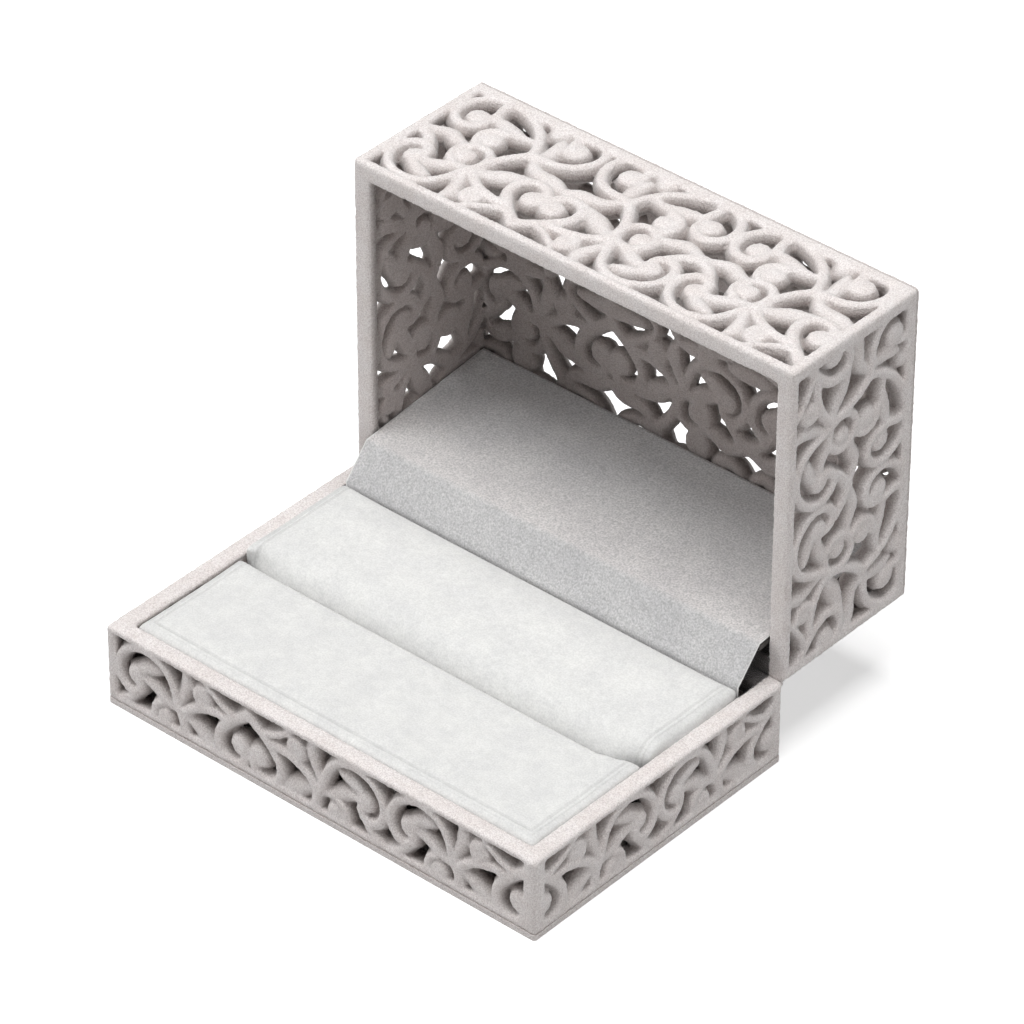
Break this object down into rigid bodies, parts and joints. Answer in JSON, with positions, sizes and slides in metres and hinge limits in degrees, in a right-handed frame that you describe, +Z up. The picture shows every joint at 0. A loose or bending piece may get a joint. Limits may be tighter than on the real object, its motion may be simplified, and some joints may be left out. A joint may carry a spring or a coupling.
{
  "type": "hinged ring box",
  "caption": "Rectangular hinged ring box with openwork scroll walls, a padded velvet ring slot and a grey velvet lining card over the hinge, standing open.",
  "frame": {"origin": "centre of the base's underside", "axes": "+Z up out of the base; X along the hinge; -Y is the front of the box, and the open lid stands behind the hinge at +Y"},
  "size_m": [0.086, 0.086, 0.071],
  "materials": {
    "flocked_plastic": "injection-moulded plastic flocked with short warm pale-grey fibre",
    "white_velvet": "soft white velvet, short pile",
    "grey_velvet": "light grey velveteen",
    "pad_foam": "soft closed foam, hidden under the velvet",
    "card": "grey-white pasteboard with pale cut edges",
    "hinge_steel": "thin nickel-plated sheet steel"
  },
  "bodies": {
    "base": {"base_bottom_plate": "flocked_plastic", "base_front_wall": "flocked_plastic", "base_back_wall": "flocked_plastic", "base_left_wall": "flocked_plastic", "base_right_wall": "flocked_plastic", "pad_board": "card", "front_foam": "pad_foam", "rear_foam": "pad_foam", "front_velvet": "white_velvet", "rear_velvet": "white_velvet", "slot_strip": "white_velvet", "base_hinge_leaf": "hinge_steel", "hinge_pin": "hinge_steel", "snap_spring": "hinge_steel", "lining_tail": "card", "lining_fold": "grey_velvet"},
    "lid": {"lid_front_wall": "flocked_plastic", "lid_back_wall": "flocked_plastic", "lid_left_wall": "flocked_plastic", "lid_right_wall": "flocked_plastic", "lid_top_panel": "flocked_plastic", "lid_hinge_leaf": "hinge_steel", "lining_board": "card", "lining_velvet": "grey_velvet"}
  },
  "joints": [
    {"name": "lid_hinge", "type": "hinge", "parent": "base", "child": "lid", "pos_m": [0, 0.0282, 0.0146], "axis": [1, 0, 0], "range_deg": [0, 90], "deforming": ["lining_fold", "snap_spring"]}
  ]
}
